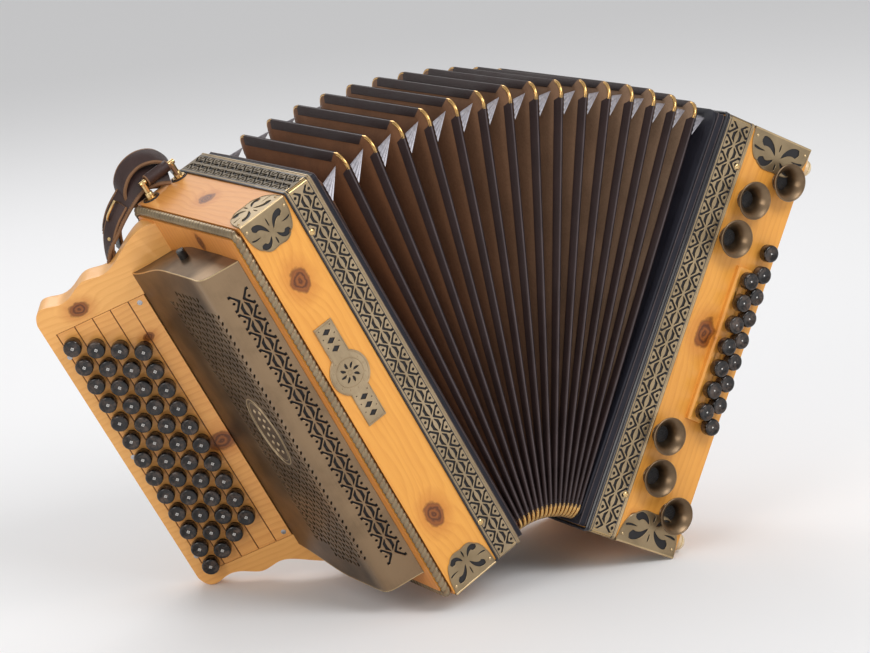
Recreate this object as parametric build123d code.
"""Four-row diatonic button accordion, standing fanned open on the fingerboard and the bass case.

The treble case (player's right hand) leans out to -X, the bass case leans out to +X, and fifteen
bellows folds fan out between them about one fan centre. +Y is the back, towards the player.
"""
from build123d import *
from math import cos, radians, sin
import os

os.makedirs("parts", exist_ok=True)

# ---- driving dimensions, millimetres and degrees ----
CASE_HEIGHT = 370.0
CASE_DEPTH = 192.0
TREBLE_WIDTH = 80.0
BASS_WIDTH = 95.0
WALL = 9.0
CASE_EDGE = 3.0

TREBLE_LEAN = 26.32
BASS_LEAN = 27.28
TREBLE_RADIUS = 60.7
BASS_RADIUS = 58.45

FOLDS = 15
FOLD_DEPTH = 187.0
FOLD_INNER_RADIUS = 62.0
FOLD_LENGTH = 367.0
FOLD_THICK = 2.6
FOLD_BAR = 12.0
FOLD_BOW = 2.0
CORNER_GAP = 0.4

TREBLE_FRAME = 5.0
BASS_FRAME = 9.0
FRAME_BAR = 17.0
FRAME_INSET = 1.5

TREBLE_STRIP = 27.0
BASS_STRIP = 30.0
STRIP_THICK = 1.2
SCREW_RADIUS = 3.2
SCREW_HEIGHT = 1.6
SCREW_FROM_END = 38.0

MOUNT_REACH = 33.0
MOUNT_THICK = 1.0

ROPE_RADIUS = 3.6
TONE_BOARD = 7.0

BOARD_ROOT = 57.0
BOARD_ANGLE = 145.4
BOARD_WIDTH = 134.0
BOARD_THICK = 22.0
BOARD_MIDDLE = 185.0
BOARD_WAVE = (
    (0.0, 175.0),
    (28.0, 171.0),
    (46.0, 160.0),
    (62.0, 154.0),
    (80.0, 156.0),
    (95.0, 149.0),
    (108.0, 146.0),
    (122.0, 149.0),
    (BOARD_WIDTH, 137.0),
)
KEY_TOP = 308.0
KEY_BOTTOM = 50.0
CAVITY_DEPTH = 18.0
SLAT_THICK = 5.0
SLAT_GAP = 1.05

ROW_COUNTS = (13, 12, 11, 10)
ROW_PITCH = 17.05
BUTTON_PITCH = 19.74
FIRST_ROW = 115.2
FIRST_BUTTON = 294.6
BUTTON_RADIUS = 7.25
BUTTON_LIFT = 3.4
BUTTON_HEIGHT = 6.5
NECK_RADIUS = 4.5
SLAT_HOLE = 6.2
AXLE_AT = 30.0
AXLE_DEPTH = 11.5
AXLE_RADIUS = 1.5
AXLE_PLAY = 0.06
LEVER_THICK = 3.0
LEVER_HEIGHT = 4.5
LANE_SHIFT = 2.4
PALLET_ROWS = (-48.0, -20.0, 8.0, 36.0)
PALLET_LENGTH = 22.0
PALLET_WIDTH = 15.5
PALLET_THICK = 5.7
TONE_HOLE = 5.0

GRILLE_SHEET = 1.5
GRILLE_DEPTH = 32.5
GRILLE_HALF = 160.0
GRILLE_REAR_HALF = 145.0
GRILLE_MIDDLE = 184.0
GRILLE_FRONT = -78.0

BASS_PITCH = 19.6
BASS_BUTTON_RADIUS = 7.5
BASS_OUTER_ROW = 81.5
BASS_INNER_ROW = 67.0
BASS_OUTER_TOP = 273.0
BASS_INNER_TOP = 244.0
BASS_STEM = 2.3
STEM_PLAY = 0.3
BLOCK_THICK = 5.0

HORN_RIM = 16.2
HORN_THROAT = 7.5
HORN_STAND = 13.0
HORN_SHEET = 1.2
HORN_SPOTS = ((75.0, 150.5), (46.0, 124.5), (41.0, 88.5))

FOOT_RADIUS = 7.6
FOOT_FROM_END = 14.0
FOOT_LENGTH = 14.0

STRAP_POSTS = (-63.0, -33.0)
STRAP_WIDTH = 24.0
STRAP_THICK = 4.0
HAND_STRAP_WIDTH = 56.0
HAND_STRAP_RISE = 42.0

half_depth = CASE_DEPTH / 2
air_spot = (BASS_WIDTH, -62.0, 262.0)
fan_angle = TREBLE_LEAN + BASS_LEAN


def block(x0, x1, y0, y1, z0, z1):
    """A block between two corners."""
    middle = Pos((x0 + x1) / 2, (y0 + y1) / 2, (z0 + z1) / 2)
    return middle * Box(abs(x1 - x0), abs(y1 - y0), abs(z1 - z0))


def rod(start, end, radius):
    """A round rod from one point to another."""
    axis = Vector(*end) - Vector(*start)
    place = Plane(origin=start, z_dir=axis)
    return place * Cylinder(radius, axis.length, align=(Align.CENTER, Align.CENTER, Align.MIN))


def bare(shape):
    """A shape's solids as a plain list."""
    return list(shape.solids())


def rounded_bar(x0, x1, inset, radius):
    """A block along X with the outline of the case, set in by a margin, with its long edges rounded."""
    bar = block(x0, x1, -half_depth + inset, half_depth - inset, inset, CASE_HEIGHT - inset)
    return fillet(bar.edges().filter_by(Axis.X), radius)


def ring(x0, x1, inset, width, radius=CASE_EDGE):
    """A rectangular ring that follows the case outline."""
    hole = inset + width
    low = -half_depth + hole
    inner = block(x0 - 1, x1 + 1, low, -low, hole, CASE_HEIGHT - hole)
    return rounded_bar(x0, x1, inset, radius) - inner


def strip_band(x0, x1):
    """The sheet band of pierced brass that wraps the bellows end of a case."""
    inside = rounded_bar(x0 - 1, x1 + 1, 0, CASE_EDGE)
    return rounded_bar(x0, x1, -STRIP_THICK, CASE_EDGE + STRIP_THICK) - inside


def domed_screw(x, z, side):
    """A domed screw head on the front (-1) or back (+1) of a band."""
    base = side * (half_depth + STRIP_THICK + 0.1)
    head = rod((x, base, z), (x, base + side * SCREW_HEIGHT, z), SCREW_RADIUS)
    top = head.edges().sort_by(Axis.Y)[0 if side < 0 else -1]
    return fillet(top, SCREW_HEIGHT * 0.7)


def band_with_screws(x0, x1, screw_x):
    pieces = bare(strip_band(x0, x1))
    for side in (-1, 1):
        for z in (SCREW_FROM_END, CASE_HEIGHT - SCREW_FROM_END):
            pieces += bare(domed_screw(screw_x, z, side))
    return pieces


def edge_mount(x0, x1, top):
    """A bent ornamental plate over the front edge of a case end: a fan on the front and one on the end."""
    up = 1 if top else -1
    edge_z = CASE_HEIGHT if top else 0.0
    front = -half_depth
    t = MOUNT_THICK
    oval = extrude(Ellipse((x1 - x0) / 2, MOUNT_REACH), MOUNT_REACH, both=True)
    place = Pos((x0 + x1) / 2, front, edge_z)
    face = place * Rot(90, 0, 0) * oval
    face &= block(x0, x1, front - t, front, edge_z - up * MOUNT_REACH, edge_z + up * t)
    cap = place * oval
    cap &= block(x0, x1, front - t, front + MOUNT_REACH, edge_z, edge_z + up * t)
    return bare(face + cap)


# ---- placing ----
treble_place = Rot(0, -TREBLE_LEAN, 0) * Pos(-TREBLE_FRAME, 0, TREBLE_RADIUS)
bass_place = Rot(0, BASS_LEAN, 0) * Pos(BASS_FRAME, 0, BASS_RADIUS)
board_place = Pos(-TREBLE_WIDTH, BOARD_ROOT, 0) * Rot(0, 0, BOARD_ANGLE)


def fold_angle(number):
    """Lean of one fold: even steps, with wider gaps on the treble side. 0 is the treble frame."""
    gaps = FOLDS + 1
    even = -TREBLE_LEAN + fan_angle * number / gaps
    return even + FOLD_BOW * number * (gaps - number) * 4 / gaps**2


def board_point(along, out):
    """Treble-case X and Y of a point on the fingerboard: distance along it, and height over its face."""
    turn = radians(BOARD_ANGLE)
    x = -TREBLE_WIDTH + along * cos(turn) - out * sin(turn)
    y = BOARD_ROOT + along * sin(turn) + out * cos(turn)
    return x, y


# ---- bellows ----
def fold():
    """One fold at rest: four ridge bars and four corner clips, all flat in the fold's plane."""
    half = FOLD_DEPTH / 2
    low = FOLD_INNER_RADIUS
    high = low + FOLD_LENGTH
    t = FOLD_THICK / 2
    inner = FOLD_BAR + CORNER_GAP
    pieces = []
    for side in (-1, 1):
        edge = side * half
        pieces += bare(block(-t, t, edge, edge - side * FOLD_BAR, low + inner, high - inner))
    pieces += bare(block(-t, t, -half + inner, half - inner, low, low + FOLD_BAR))
    pieces += bare(block(-t, t, -half + inner, half - inner, high - FOLD_BAR, high))
    for y, out in ((-half + FOLD_BAR, -FOLD_BAR), (half - FOLD_BAR, FOLD_BAR)):
        for z, up in ((low + FOLD_BAR, -FOLD_BAR), (high - FOLD_BAR, FOLD_BAR)):
            quarter = block(-t, t, y, y + out, z, z + up)
            disc = rod((-t, y, z), (t, y, z), FOLD_BAR)
            pieces += bare(quarter & disc)
    return pieces


def bellows_frame(x0, x1):
    return bare(ring(x0, x1, FRAME_INSET, FRAME_BAR))


# ---- treble side ----
def lane(row, index):
    """Height of a lever: its button's height, shifted so that levers of different rows pass."""
    shift = -LANE_SHIFT if row < 2 else LANE_SHIFT
    return button_height(row, index) + shift


def button_height(row, index):
    return FIRST_BUTTON - BUTTON_PITCH * (index + row / 2)


def row_along(row):
    return FIRST_ROW - ROW_PITCH * row


def tone_board():
    """The end board of the treble case, with one tone hole under each pallet."""
    x1 = -TREBLE_WIDTH + TONE_BOARD
    margin = 2 * ROPE_RADIUS - 0.2
    low = -half_depth + margin
    board = block(-TREBLE_WIDTH, x1, low, -low, margin, CASE_HEIGHT - margin)
    board = fillet(board.edges().filter_by(Axis.X), CASE_EDGE)
    for row, count in enumerate(ROW_COUNTS):
        for index in range(count):
            spot = (PALLET_ROWS[row], lane(row, index))
            board -= rod((-TREBLE_WIDTH - 1, *spot), (x1 + 1, *spot), TONE_HOLE)
    return bare(board)


def rope_moulding():
    """The half-round moulding around the outer end of the treble case."""
    inset = ROPE_RADIUS - 0.4
    outline = Plane.YZ * RectangleRounded(CASE_DEPTH - 2 * inset, CASE_HEIGHT - 2 * inset, 6)
    path = outline.wire()
    start = path @ 0
    section = Plane(origin=start, z_dir=path % 0) * Circle(ROPE_RADIUS)
    swept = sweep(section, path=path)
    return bare(Pos(-TREBLE_WIDTH + ROPE_RADIUS - 0.2, 0, CASE_HEIGHT / 2) * swept)


def treble_reed_blocks():
    pieces = []
    for y in PALLET_ROWS:
        pieces += bare(block(-TREBLE_WIDTH + TONE_BOARD, -14, y - 9, y + 9, 22, CASE_HEIGHT - 22))
    return pieces


def name_plate():
    """A plain oval badge with a bar through it."""
    middle = (-54.0, 217.0)
    badge = Pos(*middle) * (Rectangle(17.5, 95) + Ellipse(17.5, 19))
    face = Plane(origin=(0, -half_depth, 0), x_dir=(1, 0, 0), z_dir=(0, -1, 0))
    return bare(extrude(face * badge, 1.5))


def board_outline():
    """The fingerboard's face: straight along the case, waved at both ends."""
    top = [(x, BOARD_MIDDLE + z) for x, z in BOARD_WAVE]
    bottom = [(x, BOARD_MIDDLE - z) for x, z in BOARD_WAVE]
    edges = [Spline(*top), Line(top[-1], bottom[-1]), Spline(*bottom), Line(bottom[0], top[0])]
    return make_face(Plane.XZ * Curve(edges))


def fingerboard():
    """The board that carries the melody buttons, hollowed for the levers."""
    board = extrude(board_outline(), BOARD_THICK, dir=(0, -1, 0))
    board -= block(6, FIRST_ROW + ROW_PITCH / 2 + 0.5, -CAVITY_DEPTH, 1, KEY_BOTTOM - 0.5, KEY_TOP + 0.5)
    board -= rod((AXLE_AT, -AXLE_DEPTH, KEY_BOTTOM - 6), (AXLE_AT, -AXLE_DEPTH, KEY_TOP + 6), AXLE_RADIUS)
    placed = board_place * board
    placed -= block(-TREBLE_WIDTH, 0, -half_depth, half_depth, 0, CASE_HEIGHT)
    return bare(placed)


def fingerboard_slats():
    """Four drilled slats, one under each button row, and the plain cover strip over the levers."""
    pieces = []
    half = (ROW_PITCH - SLAT_GAP) / 2
    for row, count in enumerate(ROW_COUNTS):
        middle = row_along(row)
        slat = block(middle - half, middle + half, -SLAT_THICK, 0, KEY_BOTTOM, KEY_TOP)
        for index in range(count):
            z = button_height(row, index)
            slat -= rod((middle, -SLAT_THICK - 1, z), (middle, 1, z), SLAT_HOLE)
        pieces += bare(slat)
    cover_end = row_along(3) - half - SLAT_GAP
    pieces += bare(block(40.5, cover_end, -SLAT_THICK, 0, KEY_BOTTOM, KEY_TOP))
    return [board_place * piece for piece in pieces]


def lever_axle():
    axle = rod((AXLE_AT, -AXLE_DEPTH, KEY_BOTTOM - 6), (AXLE_AT, -AXLE_DEPTH, KEY_TOP + 6), AXLE_RADIUS)
    return [board_place * piece for piece in bare(axle)]


def rocker(row):
    """One button with its lever and pallet: a rocker on the axle, with its lane at height 0."""
    along = row_along(row)
    button_z = LANE_SHIFT if row < 2 else -LANE_SHIFT
    half = LEVER_HEIGHT / 2
    t = LEVER_THICK / 2
    arm = block(AXLE_AT, along + 2.5, -AXLE_DEPTH - half, -AXLE_DEPTH + half, -t, t)
    stem = block(along - 2.5, along + 2.5, -AXLE_DEPTH, 0, -t, t)
    neck = rod((along, -4, button_z), (along, BUTTON_LIFT + 1, button_z), NECK_RADIUS)
    cap_end = BUTTON_LIFT + BUTTON_HEIGHT
    cap = rod((along, BUTTON_LIFT, button_z), (along, cap_end, button_z), BUTTON_RADIUS)
    cap = fillet(cap.edges().sort_by(Axis.Y)[-1], 1.5)
    boss = rod((AXLE_AT, -AXLE_DEPTH, -t), (AXLE_AT, -AXLE_DEPTH, t), 4.0)
    button_side = board_place * (arm + stem + boss + neck + cap)
    axle_x, axle_y = board_point(AXLE_AT, -AXLE_DEPTH)
    spot = PALLET_ROWS[row]
    tail = block(axle_x - half, axle_x + half, spot - 3, axle_y, -t, t)
    pallet_top = -TREBLE_WIDTH - 0.3 - PALLET_THICK
    post = block(pallet_top + 1, axle_x, spot - 3, spot + 3, -t, t)
    reach = PALLET_LENGTH / 2
    wide = PALLET_WIDTH / 2
    pallet = block(pallet_top, -TREBLE_WIDTH - 0.3, spot - reach, spot + reach, -wide, wide)
    bore = rod((axle_x, axle_y, -t - 1), (axle_x, axle_y, t + 1), AXLE_RADIUS + AXLE_PLAY)
    return button_side + tail + post + pallet - bore


def melody_row(row):
    shape = rocker(row)
    pieces = []
    for index in range(ROW_COUNTS[row]):
        pieces += bare(Pos(0, 0, lane(row, index)) * shape)
    return pieces


def grille():
    """The sheet cover over the pallets: open to the end board and to the fingerboard."""
    x_out = -TREBLE_WIDTH - GRILLE_DEPTH
    rear_x, rear_y = board_point(39.5, 0.2)
    root_x, root_y = board_point(0.0, 0.2)
    front = GRILLE_FRONT
    section = Polyline((root_x, front), (x_out, front + 12), (rear_x, rear_y), (root_x, root_y), close=True)
    skin = Pos(0, 0, GRILLE_MIDDLE - 200) * extrude(make_face(section), 400)
    corner = skin.edges().filter_by(Axis.Z).sort_by_distance((x_out, front + 12, GRILLE_MIDDLE))[0]
    skin = fillet(corner, 9)

    def ends(half, rear_half, x0, x1, reach):
        outline = Polyline(
            (front - reach, GRILLE_MIDDLE - half),
            (9, GRILLE_MIDDLE - half),
            (rear_y + reach, GRILLE_MIDDLE - rear_half),
            (rear_y + reach, GRILLE_MIDDLE + rear_half),
            (9, GRILLE_MIDDLE + half),
            (front - reach, GRILLE_MIDDLE + half),
            close=True,
        )
        return Pos(x0, 0, 0) * extrude(Plane.YZ * make_face(outline), x1 - x0)

    cover = skin & ends(GRILLE_HALF, GRILLE_REAR_HALF, x_out - 1, -TREBLE_WIDTH - 0.1, 0.5)
    s = GRILLE_SHEET
    inner = Polyline(
        (-TREBLE_WIDTH + 10, front - 2.3),
        (x_out + s, front + 13.2),
        (x_out + s, 100),
        (-TREBLE_WIDTH + 10, 100),
        close=True,
    )
    hollow = Pos(0, 0, GRILLE_MIDDLE - 200) * extrude(make_face(inner), 400)
    corner = hollow.edges().filter_by(Axis.Z).sort_by_distance((x_out + s, front + 13.2, GRILLE_MIDDLE))[0]
    hollow = fillet(corner, 7.5)
    hollow &= ends(GRILLE_HALF - s, GRILLE_REAR_HALF - s, x_out - 1, 0, 12)
    return bare(cover - hollow)


def grille_knobs():
    """The two black knobs that hold the grille, one on each end cap."""
    pieces = []
    for end in (-1, 1):
        z = GRILLE_MIDDLE + end * GRILLE_HALF
        knob = rod((-93, -4, z), (-93, -4, z + end * 8), 3.8)
        rim = knob.edges().sort_by(Axis.Z)[-1 if end > 0 else 0]
        pieces += bare(fillet(rim, 1.0))
    return pieces


def strap_bracket(y, z, towards):
    """A rod on two posts that stand on a case wall: towards is the wall's outward direction."""
    foot = Vector(0, y, z)
    rise = Vector(*towards)
    ends = [Vector(x, 0, 0) + foot + rise * 15 for x in (STRAP_POSTS[0] - 3, STRAP_POSTS[1] + 3)]
    bracket = rod(tuple(ends[0]), tuple(ends[1]), 2.2)
    for x in STRAP_POSTS:
        start = Vector(x, 0, 0) + foot
        bracket += rod(tuple(start), tuple(start + rise * 16), 2.4)
        bracket += rod(tuple(start), tuple(start + rise * 1.6), 5.5)
    return bare(bracket)


def ribbon(points, width, thick):
    """A flat band along a route, its face towards Y."""
    band = None
    for start, end in zip(points, points[1:]):
        line = Vector(*end) - Vector(*start)
        across = line.cross(Vector(0, 1, 0)).normalized()
        place = Plane(origin=(Vector(*start) + Vector(*end)) / 2, x_dir=line, z_dir=line.cross(across))
        piece = place * Box(line.length + width * 0.18, width, thick)
        band = piece if band is None else band + piece
    return band


STRAP_ROUTE = (
    (-48, 104, 382),
    (-62, 112, 352),
    (-86, 120, 312),
    (-104, 126, 260),
    (-110, 128, 200),
    (-100, 126, 140),
    (-76, 120, 90),
    (-48, 110, 52),
)


def shoulder_strap():
    """The leather shoulder strap, looped over the top rod and hanging behind to the lower rod."""
    band = ribbon(STRAP_ROUTE, STRAP_WIDTH, STRAP_THICK)
    top = block(-60, -36, 78, 106, 380, 390) - rod((-70, 84, 385), (-20, 84, 385), 2.9)
    low_y = half_depth + 15
    low = block(-60, -36, low_y - 5, low_y + 5, 34, 56) - rod((-70, low_y, 40), (-20, low_y, 40), 2.9)
    return bare(band + top + low)


# ---- bass side ----
def bass_buttons():
    """Place of each bass button: X, Z, and the depth of the surface that it stands over."""
    outer = [(BASS_OUTER_ROW, BASS_OUTER_TOP - BASS_PITCH * i, 0.0) for i in range(9)]
    inner = [(BASS_INNER_ROW, BASS_INNER_TOP - BASS_PITCH * i, BLOCK_THICK) for i in range(7)]
    return outer + inner


def bass_button(x, z, stand):
    base = -half_depth - stand - 5.0
    head = rod((x, base, z), (x, base - 7.0, z), BASS_BUTTON_RADIUS)
    head = fillet(head.edges().sort_by(Axis.Y)[0], 1.6)
    stem = rod((x, base - 1, z), (x, -half_depth + WALL + 4, z), BASS_STEM)
    return bare(head + stem)


def horn_places():
    """The six horns: three above the buttons, three mirrored below."""
    middle = CASE_HEIGHT / 2
    return [(x, middle + side * z) for side in (1, -1) for x, z in HORN_SPOTS]


def horn(x, z):
    """A flared sound horn with a short tube through the front wall and a pierced disc in its throat."""
    throat = HORN_THROAT
    face = -half_depth
    rim = face - HORN_STAND
    s = HORN_SHEET
    outer = ThreePointArc((throat + s, face), (throat + 3.4 + s, rim + 5.2), (HORN_RIM, rim))
    inner = ThreePointArc((HORN_RIM - s, rim), (throat + 3.4, rim + 4.0), (throat, face))
    lines = Curve([
        outer,
        Line((HORN_RIM, rim), (HORN_RIM - s, rim)),
        inner,
        Line((throat, face), (throat, face + WALL + 5)),
        Line((throat, face + WALL + 5), (throat + s, face + WALL + 5)),
        Line((throat + s, face + WALL + 5), (throat + s, face)),
    ])
    bell = revolve(make_face(lines), Axis.Y)
    screen = rod((0, face + 1, 0), (0, face + 2, 0), throat)
    return bare(Pos(x, 0, z) * (bell + screen))


def bass_case():
    """The bass case: four walls and the closed outer end, drilled for horns, stems and air button."""
    shell = rounded_bar(0, BASS_WIDTH, 0, CASE_EDGE)
    low = -half_depth + WALL
    shell -= block(-1, BASS_WIDTH - WALL, low, -low, WALL, CASE_HEIGHT - WALL)
    for x, z in horn_places():
        shell -= rod((x, -half_depth - 1, z), (x, low + 1, z), HORN_THROAT + HORN_SHEET)
    for x, z, _ in bass_buttons():
        shell -= rod((x, -half_depth - 1, z), (x, low + 1, z), BASS_STEM + STEM_PLAY)
    x, y, z = air_spot
    shell -= rod((BASS_WIDTH - WALL - 1, y, z), (BASS_WIDTH + 1, y, z), 3.0 + STEM_PLAY)
    return bare(shell)


def air_button():
    x, y, z = air_spot
    head = rod((x + 5, y, z), (x + 12, y, z), 8.0)
    head = fillet(head.edges().sort_by(Axis.X)[-1], 1.6)
    return bare(head + rod((x - WALL - 6, y, z), (x + 6, y, z), 3.0))


def button_block():
    """The raised rail that carries the inner bass row."""
    top = BASS_INNER_TOP + 10
    bottom = BASS_INNER_TOP - BASS_PITCH * 6 - 10
    x0, x1 = BASS_INNER_ROW - 7.4, BASS_INNER_ROW + 6.4
    rail = block(x0, x1, -half_depth - BLOCK_THICK, -half_depth, bottom, top)
    rail = chamfer(rail.faces().sort_by(Axis.Y)[0].edges().filter_by(Axis.Z).sort_by(Axis.X)[0], 1.5)
    for x, z, stand in bass_buttons():
        if stand:
            rail -= rod((x, -half_depth - 20, z), (x, -half_depth + 1, z), BASS_STEM + STEM_PLAY)
    return bare(rail)


def bass_edge_mount(top):
    """An edge mount with room for the necks of the horns beside it."""
    mount = edge_mount(BASS_STRIP + 1, BASS_WIDTH, top)[0]
    for x, z in horn_places():
        mount -= rod((x, -half_depth - 2, z), (x, -half_depth + 1, z), HORN_THROAT + HORN_SHEET + 1)
    return bare(mount)


def bass_reed_blocks():
    pieces = []
    for y in (-46, 4, 54):
        pieces += bare(block(6, BASS_WIDTH - WALL - 10, y - 14, y + 14, 26, CASE_HEIGHT - 26))
    return pieces


def foot_places():
    spots = (FOOT_FROM_END, CASE_HEIGHT - FOOT_FROM_END)
    return [(y, z) for y in (-82.0, 82.0) for z in spots]


def feet():
    """Four turned feet on the outer end of the bass case."""
    pieces = []
    end = FOOT_LENGTH
    outline = Curve([
        Line((0, 0), (5.6, 0)),
        Line((5.6, 0), (5.0, 3.5)),
        ThreePointArc((5.0, 3.5), (FOOT_RADIUS, (3.5 + end) / 2), (5.0, end)),
        Line((5.0, end), (0, end)),
        Line((0, end), (0, 0)),
    ])
    turned = Plane(origin=(0, 0, 0), x_dir=(0, 1, 0), z_dir=(1, 0, 0))
    knob = revolve(make_face(Plane.XZ * outline), Axis.Z)
    for y, z in foot_places():
        pieces += bare(Pos(BASS_WIDTH, y, z) * turned.location * knob)
    return pieces


def hand_strap():
    """The leather strap for the left hand, bowed away from the outer end of the bass case."""
    z0 = 44.0
    z1 = CASE_HEIGHT - 44.0
    middle = CASE_HEIGHT / 2
    inner = BASS_WIDTH + 2.0
    rise = HAND_STRAP_RISE
    t = 3.5
    lines = Curve([
        ThreePointArc((inner, z0), (inner + rise, middle), (inner, z1)),
        Line((inner, z1), (inner + t, z1)),
        ThreePointArc((inner + t, z1), (inner + rise + t, middle), (inner + t, z0)),
        Line((inner + t, z0), (inner, z0)),
    ])
    half = HAND_STRAP_WIDTH / 2
    band = Pos(0, 12 - half, 0) * extrude(make_face(Plane.XZ * lines), HAND_STRAP_WIDTH, dir=(0, 1, 0))
    pads = block(BASS_WIDTH, inner + t, 12 - half, 12 + half, z0 - 14, z0 + 3)
    pads += block(BASS_WIDTH, inner + t, 12 - half, 12 + half, z1 - 3, z1 + 14)
    return bare(band + pads)


# ---- the whole ----
def model():
    """Every node in the fan's own frame: node name to its list of solids."""
    treble = {
        "treble_case": bare(ring(-TREBLE_WIDTH + TONE_BOARD, 0, 0, WALL)),
        "treble_tone_board": tone_board(),
        "treble_bellows_frame": bellows_frame(0, TREBLE_FRAME),
        "treble_lattice_band": band_with_screws(-TREBLE_STRIP, 0, -TREBLE_STRIP + 4.5),
        "treble_rope_moulding": rope_moulding(),
        "treble_edge_mounts": [],
        "treble_name_plate": name_plate(),
        "treble_reed_blocks": treble_reed_blocks(),
        "fingerboard": fingerboard(),
        "fingerboard_slats": fingerboard_slats(),
        "lever_axle": lever_axle(),
        "grille": grille(),
        "grille_knobs": grille_knobs(),
        "strap_brackets": [],
        "shoulder_strap": shoulder_strap(),
    }
    bass = {
        "bass_case": bass_case(),
        "bass_bellows_frame": bellows_frame(-BASS_FRAME, 0),
        "bass_lattice_band": band_with_screws(0, BASS_STRIP, BASS_STRIP - 4.5),
        "bass_edge_mounts": [],
        "bass_horns": [piece for spot in horn_places() for piece in horn(*spot)],
        "bass_button_block": button_block(),
        "bass_reed_blocks": bass_reed_blocks(),
        "bass_feet": feet(),
        "hand_strap": hand_strap(),
        "air_button": air_button(),
    }
    treble["strap_brackets"] += strap_bracket(84, CASE_HEIGHT, (0, 0, 1))
    treble["strap_brackets"] += strap_bracket(half_depth, 40, (0, 1, 0))
    for top in (False, True):
        treble["treble_edge_mounts"] += edge_mount(-TREBLE_WIDTH + 7.2, -TREBLE_STRIP - 1, top)
        bass["bass_edge_mounts"] += bass_edge_mount(top)
    for row in range(len(ROW_COUNTS)):
        treble[f"melody_row_{row + 1}"] = melody_row(row)
    for number, spot in enumerate(bass_buttons(), 1):
        bass[f"bass_button_{number:02d}"] = bass_button(*spot)
    nodes = {name: [treble_place * piece for piece in pieces] for name, pieces in treble.items()}
    nodes.update({name: [bass_place * piece for piece in pieces] for name, pieces in bass.items()})
    shape = fold()
    for number in range(1, FOLDS + 1):
        turn = Rot(0, fold_angle(number), 0)
        nodes[f"bellows_fold_{number:02d}"] = [turn * piece for piece in shape]
    return nodes


def fan_centre(nodes):
    """Where the fan centre lies when the whole stands on Z = 0, centred on X and Y."""
    boxes = [piece.bounding_box() for pieces in nodes.values() for piece in pieces]
    low = [min(getattr(box.min, axis) for box in boxes) for axis in "XYZ"]
    high = [max(getattr(box.max, axis) for box in boxes) for axis in "XYZ"]
    return Vector(-(low[0] + high[0]) / 2, -(low[1] + high[1]) / 2, -low[2])


def main():
    nodes = model()
    centre = fan_centre(nodes)
    print("fan centre", [round(value, 3) for value in tuple(centre)])
    for name, pieces in nodes.items():
        export_step(Compound(children=[Pos(centre) * piece for piece in pieces]), f"parts/{name}.step")


if __name__ == "__main__":
    main()
